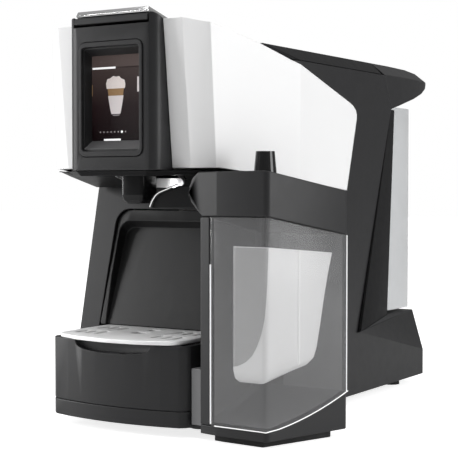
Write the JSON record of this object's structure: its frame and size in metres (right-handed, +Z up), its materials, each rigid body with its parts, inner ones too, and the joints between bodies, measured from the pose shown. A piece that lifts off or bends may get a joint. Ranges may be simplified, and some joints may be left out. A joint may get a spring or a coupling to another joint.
{
  "type": "pod coffee machine",
  "caption": "Countertop pod coffee machine with a touch screen, lift-up pod lid, drip drawer, milk unit with a froth knob, and a lift-off rear water tank.",
  "frame": {"origin": "floor level under the middle of the bounding box, on the plane the feet stand on", "axes": "+X towards the milk unit (the user's right), +Y towards the water tank at the back, +Z up"},
  "size_m": [0.2712, 0.4022, 0.3344],
  "materials": {
    "black_satin": "satin black",
    "black_gloss": "polished black",
    "white_gloss": "polished white",
    "chrome": "bright chrome",
    "steel": "satin steel",
    "aluminium": "cast aluminium",
    "grey": "mid grey",
    "clear": "clear plastic",
    "frosted": "milky translucent plastic",
    "screen": "dark display",
    "rubber": "soft black",
    "board": "green circuit board",
    "nylon": "natural grey-white"
  },
  "bodies": {
    "machine": {"rear_housing": "black_satin", "white_casing": "white_gloss", "roof_cover": "black_satin", "belly_cover": "black_satin", "niche_panel": "black_satin", "bottom_plate": "black_satin", "foot_front_left": "rubber", "foot_front_right": "rubber", "foot_rear_left": "rubber", "foot_rear_right": "rubber", "dock_rail": "grey", "dock_block": "black_satin", "screen_module": "black_satin", "screen_ring": "black_gloss", "display_glass": "clear", "display_panel": "screen", "control_board": "board", "brew_frame": "nylon", "lid_pin": "steel", "pod_holder": "nylon", "piston_guide": "nylon", "pod_chute": "nylon", "coffee_spout": "black_gloss", "spout_reflector": "chrome", "tank_socket": "rubber", "pump": "steel", "flow_meter": "nylon", "thermoblock": "aluminium", "main_board": "board", "suction_hose": "nylon", "pump_hose": "nylon", "pressure_hose": "nylon", "brew_hose": "nylon", "steam_hose": "nylon", "power_inlet": "black_satin"},
    "lid": {"pod_lid": "black_gloss", "lid_chrome_plate": "chrome"},
    "piston": {"brew_piston": "nylon"},
    "drawer": {"drip_drawer": "black_satin", "pod_bin": "grey"},
    "grid": {"drip_grid": "steel"},
    "milk_unit": {"milk_base": "black_satin", "milk_foot": "rubber", "milk_frame": "black_satin", "milk_jacket": "clear", "milk_vessel": "frosted", "milk_lid": "black_satin", "milk_tube": "clear", "milk_arm": "black_satin", "arm_trim": "chrome"},
    "knob": {"froth_knob": "black_gloss"},
    "tank": {"water_tank": "clear"},
    "tank_cover": {"tank_lid": "black_satin"},
    "valve": {"tank_valve": "nylon"},
    "switch": {"power_switch": "black_gloss"}
  },
  "joints": [
    {"name": "lid_hinge", "type": "hinge", "parent": "machine", "child": "lid", "pos_m": [-0.0298, -0.1249, 0.3035], "axis": [-1, 0, 0], "range_deg": [0, 80]},
    {"name": "piston_slide", "type": "slide", "parent": "machine", "child": "piston", "axis": [0, 1, 0], "range_m": [0, 0.034]},
    {"name": "drawer_slide", "type": "slide", "parent": "machine", "child": "drawer", "axis": [0, -1, 0], "range_m": [0, 0.19]},
    {"name": "grid_lift", "type": "slide", "parent": "drawer", "child": "grid", "axis": [0, 0, 1], "range_m": [0, 0.08]},
    {"name": "milk_unit_slide", "type": "slide", "parent": "machine", "child": "milk_unit", "axis": [0, -1, 0], "range_m": [0, 0.12]},
    {"name": "froth_knob_turn", "type": "hinge", "parent": "milk_unit", "child": "knob", "pos_m": [0.0882, -0.1529, 0.2036], "axis": [0, 0, 1], "range_deg": [-60, 60]},
    {"name": "tank_lift", "type": "slide", "parent": "machine", "child": "tank", "axis": [0, 0, 1], "range_m": [0, 0.2]},
    {"name": "tank_lid_lift", "type": "slide", "parent": "tank", "child": "tank_cover", "axis": [0, 0, 1], "range_m": [0, 0.06]},
    {"name": "valve_stroke", "type": "slide", "parent": "tank", "child": "valve", "axis": [0, 0, 1], "range_m": [0, 0.003], "stiffness_N_per_m": 150, "springref_m": -0.002},
    {"name": "power_rocker", "type": "hinge", "parent": "machine", "child": "switch", "pos_m": [0.0102, 0.1691, 0.032], "axis": [-1, 0, 0], "range_deg": [0, 12]}
  ],
  "couplings": [
    {"joint": "piston_slide", "follows": "lid_hinge", "m_per_rad": 0.024}
  ]
}
